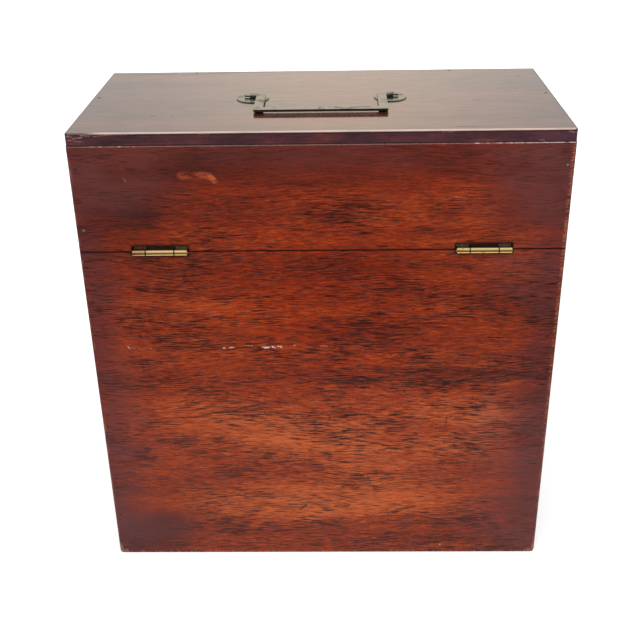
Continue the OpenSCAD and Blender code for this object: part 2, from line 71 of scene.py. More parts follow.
def linear(red, green, blue):
    """A colour given as display values from 0 to 255, as the linear values that a shader takes."""
    def channel(value):
        value /= 255
        return value / 12.92 if value <= 0.04045 else ((value + 0.055) / 1.055) ** 2.4
    return (channel(red), channel(green), channel(blue), 1.0)


def grey(level):
    return (level, level, level, 1.0)


class Graph:
    """The node tree of a material or the world, with one short call for each kind of node."""

    def __init__(self, owner, output="ShaderNodeOutputMaterial"):
        self.owner = owner
        owner.use_nodes = True
        self.tree = owner.node_tree
        self.tree.nodes.clear()
        self.output = self.tree.nodes.new(output)
        coordinates = self.tree.nodes.new("ShaderNodeTexCoord")
        self.place = coordinates.outputs["Object"]
        self.normal = coordinates.outputs["Normal"]
        self.direction = coordinates.outputs["Generated"]

    def put(self, socket, value):
        """Links a node's output to the socket, or sets a plain value."""
        if isinstance(value, bpy.types.NodeSocket):
            self.tree.links.new(value, socket)
        else:
            socket.default_value = value

    def math(self, operation, *values):
        node = self.tree.nodes.new("ShaderNodeMath")
        node.operation = operation
        for socket, value in zip(node.inputs, values):
            self.put(socket, value)
        return node.outputs[0]

    def vector(self, operation, *values):
        node = self.tree.nodes.new("ShaderNodeVectorMath")
        node.operation = operation
        for socket, value in zip(node.inputs, values):
            self.put(socket, value)
        return node.outputs["Value" if operation in ("LENGTH", "DOT_PRODUCT") else "Vector"]

    def split(self, vector):
        node = self.tree.nodes.new("ShaderNodeSeparateXYZ")
        self.put(node.inputs[0], vector)
        return node.outputs[0], node.outputs[1], node.outputs[2]

    def join(self, x, y, z):
        node = self.tree.nodes.new("ShaderNodeCombineXYZ")
        for socket, value in zip(node.inputs, (x, y, z)):
            self.put(socket, value)
        return node.outputs[0]

    def noise(self, where, detail=2.0, roughness=0.5):
        node = self.tree.nodes.new("ShaderNodeTexNoise")
        self.put(node.inputs["Vector"], where)
        node.inputs["Scale"].default_value = 1.0
        node.inputs["Detail"].default_value = detail
        node.inputs["Roughness"].default_value = roughness
        return node.outputs["Fac"]

    def even_noise(self, per_metre, detail=2.0, roughness=0.5):
        """Noise with marks as long as they are wide, about so many to a metre."""
        where = self.vector("MULTIPLY", self.place, (per_metre, per_metre, per_metre))
        return self.noise(where, detail, roughness)

    def remap(self, value, low, high, to_low=0.0, to_high=1.0):
        node = self.tree.nodes.new("ShaderNodeMapRange")
        node.interpolation_type = "SMOOTHSTEP"
        node.clamp = False
        for socket, number in zip(node.inputs, (value, low, high, to_low, to_high)):
            self.put(socket, number)
        return node.outputs[0]

    def mix(self, amount, first, second, blend="MIX"):
        node = self.tree.nodes.new("ShaderNodeMix")
        node.data_type = "RGBA"
        node.blend_type = blend
        self.put(node.inputs[0], amount)
        self.put(node.inputs[6], first)
        self.put(node.inputs[7], second)
        return node.outputs[2]

    def ramp(self, value, *stops):
        node = self.tree.nodes.new("ShaderNodeValToRGB")
        elements = node.color_ramp.elements
        while len(elements) < len(stops):
            elements.new(1.0)
        for element, (position, colour) in zip(elements, stops):
            element.position = position
            element.color = colour
        self.put(node.inputs[0], value)
        return node.outputs[0]

    def bump(self, height, distance):
        node = self.tree.nodes.new("ShaderNodeBump")
        node.inputs["Distance"].default_value = distance
        self.put(node.inputs["Height"], height)
        return node.outputs[0]

    def surface(self, **sockets):
        """The Principled shader, with its sockets named by words joined with an underscore."""
        node = self.tree.nodes.new("ShaderNodeBsdfPrincipled")
        for name, value in sockets.items():
            self.put(node.inputs[name.replace("_", " ")], value)
        self.tree.links.new(node.outputs[0], self.output.inputs[0])
        return self.owner

    def grain(self, place, axis, marks, shift, detail=2.0, roughness=0.5):
        """Noise with marks of a given length along the axis, and a given width across it."""
        length, width = marks
        factors = [1 / length if axis == name else 1 / width for name in "XYZ"]
        where = self.vector("MULTIPLY_ADD", place, factors, (shift, shift, shift))
        return self.noise(where, detail, roughness)

    def shaded(self, colour, shade):
        """The colour times a grey value."""
        return self.mix(1.0, colour, self.join(shade, shade, shade), "MULTIPLY")

    def near_line(self, place, start, end, radius, soft):
        """1 on the line between two points and 0 beyond the radius, soft over that width."""
        along = Vector(end) - Vector(start)
        offset = self.vector("SUBTRACT", place, start)
        share = 0.0
        if along.length > 0:
            share = self.math("MULTIPLY", self.vector("DOT_PRODUCT", offset, along),
                              1 / along.length_squared)
            share = self.math("MINIMUM", self.math("MAXIMUM", share, 0.0), 1.0)
            nearest = self.vector("MULTIPLY", self.join(share, share, share), along)
            offset = self.vector("SUBTRACT", offset, nearest)
        return self.remap(self.vector("LENGTH", offset), radius - soft, radius, 1.0, 0.0)

    def all_lines(self, place, rows):
        """The strongest of the marks in a list of (start, end, radius, soft, strength)."""
        total = None
        for start, end, radius, soft, strength in rows:
            mark = self.math("MULTIPLY", self.near_line(place, start, end, radius, soft), strength)
            total = mark if total is None else self.math("MAXIMUM", total, mark)
        return total

    def patches(self, place, rows):
        """The sum of soft round patches in a list of (middle, half sizes, strength)."""
        total = None
        for middle, half, strength in rows:
            shares = [1 / size if size else 0.0 for size in half]
            moved = [-m * s for m, s in zip(middle, shares)]
            reach = self.vector("LENGTH", self.vector("MULTIPLY_ADD", place, shares, moved))
            patch = self.remap(reach, 0.15, 1.0, strength, 0.0)
            total = patch if total is None else self.math("ADD", total, patch)
        return total


def new_graph(name):
    return Graph(bpy.data.materials.new(name))


def new_object(name, data):
    made = bpy.data.objects.new(name, data)
    bpy.context.scene.collection.objects.link(made)
    return made


def closed_mesh(name, mesh):
    """Mesh data from a bmesh, with its faces turned outwards."""
    bmesh.ops.recalc_face_normals(mesh, faces=mesh.faces)
    data = bpy.data.meshes.new(name)
    mesh.to_mesh(data)
    mesh.free()
    return data


# Wood

# Colours from the darkest wood to the lightest, each at its level
MAHOGANY = ((0.0, linear(52, 18, 12)), (0.20, linear(78, 26, 16)), (0.38, linear(104, 34, 17)),
            (0.54, linear(128, 42, 15)), (0.74, linear(155, 60, 22)), (1.0, linear(188, 90, 44)))
PORE = linear(42, 13, 8)
STAIN = linear(80, 32, 28)
MARGIN = linear(92, 47, 48)
HAZE = linear(104, 56, 54)
DEEP_RED = (1.0, 0.72, 0.30, 1.0)
VEIN = linear(56, 22, 16)
KNOT = linear(48, 18, 18)
SCAR = linear(172, 80, 42)
RUBBED = linear(168, 96, 60)
# Pale wood of scratches and chips, also the painted highlight of the line under the top board
CHIPPED_AND_HIGHLIGHT = linear(222, 202, 192)
# Darker along the lid seam and round the hinges
SEAM_AND_HINGE_DARK = linear(30, 12, 12)
ARRIS = linear(44, 24, 26)
WORN = linear(154, 106, 88)
# Painted shade on the walls of the notches over the hinges, dim brass-coloured by the outer
# knuckles
NOTCH_SHADE = linear(34, 20, 17)
NOTCH_SHADED_BRASS = linear(92, 82, 60)
# Unpolished wood inside, from dark to light
RAW_WOOD = ((0.34, linear(94, 50, 30)), (0.50, linear(140, 84, 54)), (0.66, linear(170, 112, 76)))

# Length along the grain and width across it, of the marks that make up the wood
TONE_MARKS = (120 * MM, 22 * MM)
FIGURE_MARKS = (50 * MM, 3 * MM)
FIBRE_MARKS = (5.8 * MM, 0.58 * MM)
BLOT_MARKS = (30 * MM, 13 * MM)
CLUMP_MARKS = (40 * MM, 12 * MM)
PORE_MARKS = (10 * MM, 0.5 * MM)
FLECK_MARKS = (4.2 * MM, 0.7 * MM)
TORN_MARKS = (6 * MM, 2.2 * MM)
STRIPE_MARKS = (4 * MM, 0.8 * MM)
RAW_MARKS = (30 * MM, 1.4 * MM)
TOP_TONE_MARKS = (120 * MM, 18 * MM)
TOP_FIBRE_MARKS = (30 * MM, 1.2 * MM)
MOTTLE_MARKS = (16 * MM, 3.5 * MM)
PLAIN_TONE_MARKS = (90 * MM, 10 * MM)
PLAIN_FIBRE_MARKS = (20 * MM, 0.8 * MM)

# How much each kind of mark changes the level that picks the colour, and the level between them
TONE_SHARE = 0.42
FIGURE_SHARE = 0.30
FIBRE_SHARE = 1.36
MIDDLE_LEVEL = -0.285
PLAIN_DEPTH = 0.50
MARGIN_DEPTH = -0.20
PLAIN_CALM = 0.3
MOST_CALM = 0.9

# How far a ragged border strays, a vein drifts, and the stained margins are cloudy and soft
SHAKE = 1.4 * MM
DRIFT = 7.0 * MM
MARGIN_CLOUD = 30 * MM
MARGIN_SOFT = 12 * MM

# How far the grain rises and falls, in long waves and in short ones
SLOW_WAVE = 12 * MM
QUICK_WAVE = 1.6 * MM

# Where masks start and end, and their strength at each if that isn't 0 and 1: first as distances
# from a seam, a hinge, an outer face or a corner
# Darker along the lid seam and round the hinges
SEAM_DARKENING = (1.2 * MM, 0.4 * MM)
HINGE_DARKENING = (2.0 * MM, 0.2 * MM)
SKIN = (1.6 * MM, 0.6 * MM, 0.0, 0.85)
DARK_ARRIS = (0.9 * MM, 0.3 * MM, 0.0, 0.75)
WORN_ARRIS = (-3.4 * MM, -5.2 * MM, 0.0, 0.60)
STREAK_REACH = 9 * MM
BITTEN_CORNER = (10 * MM, 2 * MM, 0.0, 3 * MM)
INSIDE = (WALL - 0.4 * MM, WALL - 0.2 * MM)
# As places in the box
ON_BACK = (BACK_Y + 0.6 * MM, BACK_Y + 0.4 * MM)
RIGHT_ARRIS = (HALF_W - 3.4 * MM, HALF_W - 1.4 * MM)
UP_THE_BACK = (0.0, 200 * MM)
# As levels of noise
UNEVEN = (0.34, 0.66, 0.55, 1.15)
BLOTTED = (0.54, 0.74)
LONG_PORED = (0.77, 0.90, 0.0, 0.80)
FLECKED = (0.95, 1.04, 0.0, 0.55)
TORN = (0.34, 0.54)
STRIPED = (0.46, 0.60, 0.0, 0.70)
BROKEN = (0.36, 0.52)

# Marks to a metre, across and up, of the worn streaks, and along and across, of fine scuffs
STREAKS = (700.0, 700.0, 130.0)
SCUFFS = (700.0, 2400.0, 2400.0)

# How raw the inside looks, and how rough and how polished the wood is
RAW_SHARE = 0.60
LEAST_ROUGH = 0.18
ROUGH_IN_CLOUDS = 0.24
ROUGH_INSIDE = 0.25
POLISH = 0.22

# How deep the bumps are
WOOD_RELIEF = 0.12 * MM
TOP_RELIEF = 0.10 * MM
PLAIN_RELIEF = 0.10 * MM
METAL_RELIEF = 0.03 * MM
NAP_RELIEF = 0.35 * MM


def on_back(x, z):
    """A point on the back of the box, from millimetres."""
    return (x * MM, 0.0, z * MM)


def on_top(x, y):
    """A point on top of the box, from millimetres."""
    return (x * MM, y * MM, 0.0)


def lines(rows, point):
    """Lines in metres from rows in millimetres, with their points placed by on_back or on_top."""
    return [(point(*start), point(*end), radius * MM, soft * MM, strength)
            for start, end, radius, soft, strength in rows]


def patches_on_back(rows):
    """Patches in metres from rows in millimetres."""
    return [(on_back(*middle), on_back(*half), strength) for middle, half, strength in rows]


# Where the back is lighter and darker: middle, half sizes and strength
BACK_PATCHES = [
    ((-112, 20), (30, 16), -0.12), ((40, 242), (34, 12), 0.10), ((88, 240), (22, 10), 0.04),
    ((-60, 262), (80, 18), -0.12), ((20, 212), (60, 12), -0.10), ((-60, 183), (90, 16), 0.14),
    ((-20, 207), (120, 8), -0.10), ((-45, 158), (60, 14), 0.08), ((10, 84), (96, 26), 0.23),
    ((-45, 40), (80, 28), 0.24), ((35, 44), (90, 34), 0.28), ((0, 40), (80, 26), 0.08),
    ((-40, 102), (120, 26), 0.22), ((80, 112), (56, 18), 0.22), ((20, 122), (50, 12), 0.06),
    ((95, 137), (60, 7), -0.16), ((-112, 255), (52, 40), -0.24), ((118, 262), (40, 34), -0.22),
    ((108, 190), (36, 22), -0.14), ((-118, 15), (46, 26), -0.28), ((126, 42), (26, 40), -0.16),
    ((110, 12), (30, 14), -0.12), ((0, 276), (180, 24), -0.30), ((-113, 205), (34, 16), -0.10),
    ((60, 150), (50, 12), 0.08), ((88, 90), (40, 26), 0.14), ((70, 185), (40, 14), 0.05),
    ((-132, 140), (26, 64), 0.16), ((44, 62), (70, 26), 0.12), ((106, 104), (30, 26), 0.14),
    ((-101, 28), (26, 16), -0.16), ((-100, 240), (22, 14), -0.14), ((-72, 272), (24, 12), -0.12),
    ((73, 272), (24, 12), -0.10), ((10, 150), (50, 12), 0.10), ((-10, 32), (50, 16), 0.08),
    ((-112, 246), (28, 20), -0.24), ((20, 88), (40, 16), 0.06), ((-58, 244), (54, 16), -0.14),
    ((112, 240), (22, 14), -0.08), ((-134, 158), (20, 30), -0.08), ((-100, 180), (20, 14), -0.08),
]
# Where the polish is hazy
BACK_HAZE = [
    ((-130, 120), (34, 150), 0.26), ((-116, 262), (54, 36), 0.55), ((122, 262), (52, 44), 0.64),
    ((118, 208), (40, 30), 0.50), ((118, 95), (46, 70), 0.42), ((0, 280), (170, 20), 0.35),
    ((118, 26), (46, 42), 0.40), ((-112, 18), (54, 30), 0.35),
]
# Where the grain is faint
BACK_CALM = [
    ((0, 276), (190, 34), 0.75), ((-122, 245), (46, 50), 0.60), ((122, 245), (46, 60), 0.60),
    ((-122, 30), (52, 60), 0.60), ((126, 70), (34, 90), 0.45), ((-130, 140), (26, 90), 0.40),
    ((30, 112), (110, 62), -0.30), ((-118, 24), (44, 36), 0.25),
]
# Where the red is deep
BACK_RICH = [((0, 185), (110, 90), 0.95)]
# Dark knots, stains and dents: ends, radius, softness and strength
BACK_DARK = [
    ((-50.4, 214.8), (-48.4, 214.8), 3.2, 2.4, 0.60),
    ((-79.7, 207.3), (-79.2, 202.3), 2.4, 2, 0.50),
    ((-78.6, 202.3), (-72.5, 195.5), 0.9, 0.8, 0.35),
    ((-109.1, 181.4), (-109.1, 180.4), 3.2, 2.6, 0.45),
    ((-109.1, 165.5), (-109.1, 165.5), 1.7, 1, 0.70),
    ((-98.1, 163.7), (-97.5, 163.1), 2.0, 1.2, 0.65),
    ((33.2, 180), (33.2, 178.6), 1.9, 1.1, 0.65),
    ((-110.1, 146.5), (-109.5, 139.6), 1.1, 0.9, 0.45),
    ((-112.1, 148.5), (-107.1, 147.5), 1, 0.8, 0.40),
    ((-59.3, 125.1), (-59.3, 125.1), 1.7, 1, 0.55),
    ((-113.4, 83.6), (-112.5, 83.6), 3.0, 1.9, 0.62), ((-36.9, 111.2), (-36.6, 111), 1, 0.6, 0.80),
    ((49.1, 126.2), (49.5, 125.2), 1, 0.6, 0.70), ((82, 209.3), (85, 208.3), 2.2, 1.6, 0.55),
    ((76.2, 107.7), (75.6, 99.7), 0.7, 0.5, 0.55), ((-17.1, 35.6), (-12.6, 39), 0.9, 0.6, 0.75),
    ((27.3, 62.9), (29.2, 56.9), 0.8, 0.5, 0.45),
]
# Veins that waver along the grain
BACK_VEIN = [
    ((-110.1, 105.3), (-85.2, 107.3), 1.0, 0.8, 0.55),
    ((-85.2, 107.3), (-56.3, 113.1), 1.1, 0.8, 0.68),
    ((-56.3, 113.1), (-36.4, 118.1), 1.3, 0.9, 0.72),
    ((-36.4, 118.1), (-16.5, 119.7), 1.4, 1.2, 0.45),
    ((-60, 113.0), (-30, 118.0), 3.6, 3.4, 0.30), ((-3.6, 131.6), (35.2, 134.6), 1.8, 1.5, 0.45),
    ((35.2, 134.6), (73, 141.6), 2.0, 1.8, 0.40), ((73, 141.6), (135.7, 136.6), 2.6, 2.2, 0.40),
    ((-15, 147), (48, 156), 1.6, 1.4, 0.30), ((48, 156), (100, 148), 1.6, 1.4, 0.25),
]
# Pale scratches and chips in the polish
BACK_PALE = [
    ((-117.4, 158.5), (-116.4, 156.9), 0.5, 0.4, 0.45),
    ((-115, 157.3), (-103.1, 157.1), 0.35, 0.3, 0.18),
    ((-60.1, 157.1), (-59.1, 156.9), 0.6, 0.4, 0.70),
    ((-56.3, 157.3), (-53.7, 157.3), 0.6, 0.5, 0.60),
    ((-46.4, 158.3), (-42.4, 158.5), 0.4, 0.3, 0.30),
    ((-36.4, 157.3), (-32.5, 157.1), 0.8, 0.5, 0.85),
    ((-30.5, 157.7), (-29.1, 157.1), 0.7, 0.5, 0.90),
    ((-26.9, 157.7), (-24.9, 157.5), 0.7, 0.5, 0.80),
    ((-17.3, 158.5), (-16.1, 158.5), 0.5, 0.4, 0.50), ((-1.6, 158.1), (2.4, 157.9), 0.4, 0.3, 0.25),
    ((-109.5, 272), (-109.2, 268.6), 0.3, 0.3, 0.08),
    ((-109, 264.2), (-107.8, 262.6), 0.4, 0.3, 0.20),
    ((76, 6.1), (76, 6.1), 0.9, 0.5, 0.50), ((75, 252.1), (75, 252.1), 0.6, 0.4, 0.30),
]
# The orange scar on the lid
BACK_SCAR = [
    ((-77, 265.4), (-68, 265.8), 3.2, 2.6, 0.42), ((-67, 266), (-61, 265.0), 3.0, 2.2, 0.58),
    ((-60.8, 264.8), (-58.6, 262.6), 2.2, 1.3, 1.00),
]

# How much the pale line under the top board shows, as chipped wear and a painted highlight on the
# edge below, at places along the box
TOP_LINE_CHIPS_AND_HIGHLIGHT = [(-139, 0.30), (-122, 0.46), (-104, 0.44), (-86, 0.30), (-58, 0.36), (-30, 0.40),
            (-18, 0.20), (20, 0.20), (45, 0.30), (66, 0.34), (84, 0.50), (139, 0.60)]

LINE_MIDDLE = BOARD_Z - 0.22 * MM
LINE_WIDTH = 0.5 * MM
LINE_BORDER = (0.10 * MM, -0.10 * MM)
LINE_BROKEN = (0.95, 1.12)

# The hinges, and the notches over them
HINGE_BOXES = [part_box("hinge_case_leaf_" + side) for side in ("left", "right")]
HINGE_MIDDLES = [(low.x + high.x) / 2 for low, high in HINGE_BOXES]
HINGE_HALF = (HINGE_BOXES[0][1].x - HINGE_BOXES[0][0].x) / 2
KNUCKLE_LOW = HINGE_BOXES[0][0].z
KNUCKLE_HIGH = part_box("hinge_lid_leaf_left")[1].z
MID_KNUCKLE_HALF = 8.2 * MM
NOTCH_TOP = KNUCKLE_HIGH + 1.4 * MM
NOTCH_HALF = HINGE_HALF + 0.8 * MM
NOTCH_DEPTH = (BACK_Y + 0.1 * MM, BACK_Y + 0.3 * MM)
NOTCH_BORDER = 0.2 * MM


def from_hinge(g, x):
    """Distance along the box from the middle of the nearer hinge."""
    offsets = [g.math("ABSOLUTE", g.math("SUBTRACT", x, middle)) for middle in HINGE_MIDDLES]
    return g.math("MINIMUM", *offsets)


def darker_round_hinge(g, x, z):
    """1 beside a hinge and its notch, and 0 a little way off."""
    from_middle = g.math("ABSOLUTE", g.math("SUBTRACT", z, (KNUCKLE_LOW + NOTCH_TOP) / 2))
    beside = g.math("MAXIMUM", g.math("SUBTRACT", from_hinge(g, x), HINGE_HALF), 0.0)
    above = g.math("SUBTRACT", from_middle, (NOTCH_TOP - KNUCKLE_LOW) / 2)
    above = g.math("MAXIMUM", above, 0.0)
    return g.remap(g.vector("LENGTH", g.join(beside, 0.0, above)), *HINGE_DARKENING)


def notch_painted_shade(g, x, y, z):
    """Two masks for painted shade: the walls of the notches over the hinges, and the parts by the
    outer knuckles, where the painted shade is tinted like dim brass.
    """
    border = NOTCH_BORDER
    deep = g.remap(y, *NOTCH_DEPTH)
    level = g.math("MULTIPLY", g.remap(z, LID_Z - border, LID_Z),
                   g.remap(z, NOTCH_TOP + border, NOTCH_TOP))
    offset = from_hinge(g, x)
    near = g.remap(offset, NOTCH_HALF + border / 2, NOTCH_HALF)
    beside = g.math("MULTIPLY", g.remap(offset, MID_KNUCKLE_HALF, MID_KNUCKLE_HALF + 2 * border),
                    g.remap(offset, HINGE_HALF + border, HINGE_HALF - border))
    return g.math("MULTIPLY", g.math("MULTIPLY", deep, level), near), beside


def chipped_and_lit_line(g, x, z):
    """The pale line under the top board: chipped wear, and a painted highlight on the edge below.
    """
    stops = [(place * MM / (2 * HALF_W) + 0.5, grey(share)) for place, share in TOP_LINE_CHIPS_AND_HIGHLIGHT]
    zone = g.ramp(g.math("MULTIPLY_ADD", x, 1 / (2 * HALF_W), 0.5), *stops)
    chips = g.even_noise(230, 2.0, 0.6)
    fine = g.even_noise(900, 1.0)
    broken = g.remap(g.math("ADD", zone, chips), *LINE_BROKEN)
    off = g.math("ABSOLUTE", g.math("SUBTRACT", z, LINE_MIDDLE))
    width = g.math("MULTIPLY", fine, LINE_WIDTH)
    line = g.remap(g.math("SUBTRACT", off, width), *LINE_BORDER)
    return g.math("MULTIPLY", line, g.math("MULTIPLY_ADD", broken, 0.46, 0.16))


def wavy_grain(g):
    """Object coordinates that rise and fall a little, so that the grain isn't ruled."""
    slow = g.even_noise(9, 1.0)
    quick = g.even_noise(34, 1.0)
    lift = g.math("MULTIPLY_ADD", slow, SLOW_WAVE, g.math("MULTIPLY", quick, QUICK_WAVE))
    return g.vector("ADD", g.place, g.join(0.0, 0.0, lift))


def mahogany(g, place, axis, depth, margin, haze, calm):
    """Mahogany with its grain along the axis: colour and relief.

    It is lighter where depth is higher, dull and purplish in its margin and where it is hazy, and
    its grain is fainter where calm is higher.
    """
    tone = g.grain(place, axis, TONE_MARKS, 3.1, 2.0, 0.55)
    figure = g.grain(place, axis, FIGURE_MARKS, 7.7, 2.0, 0.6)
    fibre = g.grain(place, axis, FIBRE_MARKS, 1.3, 3.0, 0.82)
    level = g.math("MULTIPLY_ADD", tone, TONE_SHARE, depth)
    level = g.math("MULTIPLY_ADD", figure, FIGURE_SHARE, level)
    bold = g.math("MULTIPLY_ADD", calm, -0.80, 1.08)
    fine = g.math("MULTIPLY", g.math("SUBTRACT", fibre, 0.5), g.math("MULTIPLY", bold, FIBRE_SHARE))
    level = g.math("ADD", g.math("ADD", level, fine), MIDDLE_LEVEL)
    colour = g.ramp(level, *MAHOGANY)
    blots = g.grain(place, axis, BLOT_MARKS, 6.4)
    uneven = g.remap(blots, *UNEVEN)
    colour = g.mix(g.math("MULTIPLY", g.math("MULTIPLY", margin, 0.50), uneven), colour, MARGIN)
    if haze is not None:
        colour = g.mix(g.math("MULTIPLY", haze, uneven), colour, HAZE)
    stain = g.math("MULTIPLY_ADD", margin, 0.30, 0.20)
    colour = g.mix(g.math("MULTIPLY", g.remap(blots, *BLOTTED), stain), colour, STAIN)

    clumps = g.grain(place, axis, CLUMP_MARKS, 9.1)
    long_pores = g.grain(place, axis, PORE_MARKS, 5.2, 1.0)
    long_pores = g.remap(g.math("MULTIPLY_ADD", clumps, 0.50, long_pores), *LONG_PORED)
    flecks = g.grain(place, axis, FLECK_MARKS, 8.8, 0.0)
    flecks = g.remap(g.math("MULTIPLY_ADD", clumps, 0.50, flecks), *FLECKED)
    pores = g.math("MULTIPLY", g.math("MAXIMUM", long_pores, flecks), bold)
    colour = g.mix(pores, colour, PORE)
    relief = g.math("MULTIPLY_ADD", pores, -0.7, g.math("MULTIPLY", fibre, 0.25))
    return colour, relief


def margin_stain(g, ends, half):
    """1 at the two ends of a board and 0 a little way in, with a cloudy border."""
    cloud = g.even_noise(28)
    return g.remap(g.math("MULTIPLY_ADD", cloud, MARGIN_CLOUD, ends), half - MARGIN_SOFT,
                   half + MARGIN_SOFT)


def board(name, axis, is_back=False):
    """Polished mahogany, with its grain along the axis."""
    g = new_graph(name)
    x, y, z = g.split(g.place)
    place = wavy_grain(g)
    margin = margin_stain(g, g.math("ABSOLUTE", x if axis == "X" else y),
                          HALF_W if axis == "X" else HALF_D)
    depth = g.math("MULTIPLY_ADD", margin, MARGIN_DEPTH, PLAIN_DEPTH)
    haze, calm = None, PLAIN_CALM
    if is_back:
        depth = g.math("ADD", depth, g.patches(g.place, patches_on_back(BACK_PATCHES)))
        haze = g.patches(g.place, patches_on_back(BACK_HAZE))
        calm = g.math("MINIMUM", g.patches(g.place, patches_on_back(BACK_CALM)), MOST_CALM)
    colour, relief = mahogany(g, place, axis, depth, margin, haze, calm)
    if is_back:
        rich = g.patches(g.place, patches_on_back(BACK_RICH))
        colour = g.mix(rich, colour, DEEP_RED, "MULTIPLY")
    rough_edge = g.even_noise(900)
    # Darker along the seam between lid and case, and round the hinges
    from_seam = g.math("ABSOLUTE", g.math("SUBTRACT", z, (CASE_H + LID_Z) / 2))
    darker_by_seam_and_hinges = g.remap(g.math("MULTIPLY_ADD", rough_edge, 0.5 * MM, from_seam), *SEAM_DARKENING)
    if is_back:
        outside = g.remap(y, *ON_BACK)
        shake = g.math("MULTIPLY_ADD", rough_edge, SHAKE, -SHAKE / 2)
        ragged = g.vector("ADD", g.vector("MULTIPLY", g.place, (1.0, 0.0, 1.0)),
                          g.join(0.0, 0.0, shake))
        drift = g.math("MULTIPLY_ADD", g.even_noise(55), DRIFT, -DRIFT / 2)
        wavering = g.vector("ADD", ragged, g.join(0.0, 0.0, drift))
        dark = g.all_lines(wavering, lines(BACK_VEIN, on_back))
        colour = g.mix(g.math("MULTIPLY", dark, outside), colour, VEIN)
        dark = g.all_lines(ragged, lines(BACK_DARK, on_back))
        colour = g.mix(g.math("MULTIPLY", dark, outside), colour, KNOT)
        darker_by_seam_and_hinges = g.math("MAXIMUM", darker_round_hinge(g, x, z), darker_by_seam_and_hinges)
        torn = g.grain(g.place, "X", TORN_MARKS, 3.7, 2.0, 0.7)
        scar = g.math("MULTIPLY", g.all_lines(ragged, lines(BACK_SCAR, on_back)),
                      g.remap(torn, *TORN))
        colour = g.mix(g.math("MULTIPLY", scar, outside), colour, SCAR)
        stripes = g.grain(g.place, "X", STRIPE_MARKS, 0.0, 1.0)
        stripes = g.math("MULTIPLY", g.remap(stripes, *STRIPED), g.remap(z, *UP_THE_BACK))
        colour = g.mix(g.math("MULTIPLY", stripes, g.remap(x, *RIGHT_ARRIS)), colour, RUBBED)
        broken = g.remap(rough_edge, *BROKEN)
        pale = g.math("MULTIPLY", g.all_lines(ragged, lines(BACK_PALE, on_back)), broken)
        # Pale scratches and chips, and the pale line under the top board, which is partly a painted
        # highlight
        pale = g.math("MULTIPLY", g.math("MAXIMUM", pale, chipped_and_lit_line(g, x, z)), outside)
        colour = g.mix(pale, colour, CHIPPED_AND_HIGHLIGHT)
        relief = g.math("MULTIPLY_ADD", pale, -0.8, relief)

    from_side = g.math("SUBTRACT", HALF_W, g.math("ABSOLUTE", x))
    from_face = g.math("SUBTRACT", HALF_D, g.math("ABSOLUTE", y))
    skin = g.remap(g.math("MINIMUM", from_side, from_face), *SKIN)
    colour = g.mix(g.math("MULTIPLY", darker_by_seam_and_hinges, skin), colour, SEAM_AND_HINGE_DARK)
    if is_back:
        # Painted shade in the notches over the hinges, dim brass-coloured beside the outer knuckles
        notch_shade, beside = notch_painted_shade(g, x, y, z)
        colour = g.mix(notch_shade, colour, g.mix(beside, NOTCH_SHADE, NOTCH_SHADED_BRASS))
    arris, worn = arris_wear(g, from_side, from_face, z)
    colour = g.mix(arris, colour, ARRIS)
    colour = g.mix(worn, colour, WORN)
    inside = g.math("MULTIPLY", g.remap(from_side, *INSIDE), g.remap(from_face, *INSIDE))
    raw_grain = g.grain(place, axis, RAW_MARKS, 4.9, 3.0, 0.65)
    raw = g.ramp(raw_grain, *RAW_WOOD)
    colour = g.mix(g.math("MULTIPLY", inside, RAW_SHARE), colour, raw)
    cloud = g.even_noise(60)
    rough = g.math("MULTIPLY_ADD", cloud, ROUGH_IN_CLOUDS, LEAST_ROUGH)
    rough = g.math("MULTIPLY_ADD", inside, ROUGH_INSIDE, rough)
    return g.surface(Base_Color=colour, Roughness=rough, Specular_IOR_Level=POLISH,
                     Normal=g.bump(relief, WOOD_RELIEF))


def arris_wear(g, from_side, from_face, z):
    """The dark rounded corners, and the worn streaks along them and round the foot of the box."""
    upright = g.math("MAXIMUM", from_side, from_face)
    foot = g.math("MAXIMUM", z, g.math("MINIMUM", from_side, from_face))
    nearest = g.math("MINIMUM", upright, foot)
    streaks = g.noise(g.vector("MULTIPLY", g.place, STREAKS), 3.0, 0.6)
    corner = g.vector("LENGTH", g.join(from_side, 0.0, z))
    bitten = g.remap(corner, *BITTEN_CORNER)
    reach = g.math("SUBTRACT", g.math("MULTIPLY_ADD", streaks, -STREAK_REACH, nearest), bitten)
    return g.remap(nearest, *DARK_ARRIS), g.remap(reach, *WORN_ARRIS)


# Dents, nail heads and stains on the top: ends, radius, softness and strength
TOP_DARK = [
    ((-96, -37), (-94.6, -37), 1.2, 0.8, 0.55), ((-84.5, -38.5), (-83.5, -38.5), 1.0, 0.8, 0.45),
    ((125, 48), (125.8, 48), 1.0, 0.6, 0.60), ((118.5, 16), (119, 16), 0.9, 0.6, 0.55),
    ((74, -45), (75, -45), 0.9, 0.6, 0.45), ((90, -8.5), (93, -8.5), 1.4, 1.0, 0.35),
    ((36, 44), (38, 44), 1.2, 0.9, 0.35), ((15, 48), (17, 48), 1.3, 1.0, 0.35),
    ((-13, 26.5), (-10, 26.5), 1.2, 1.0, 0.25), ((73.5, -63.5), (86, -63.5), 0.5, 0.4, 0.70),
    ((-124, 61), (-96, 63), 1.0, 0.9, 0.55), ((-92, 60), (-62, 64), 1.1, 0.9, 0.50),
    ((-70, 66), (-34, 65), 0.9, 0.8, 0.45),
]
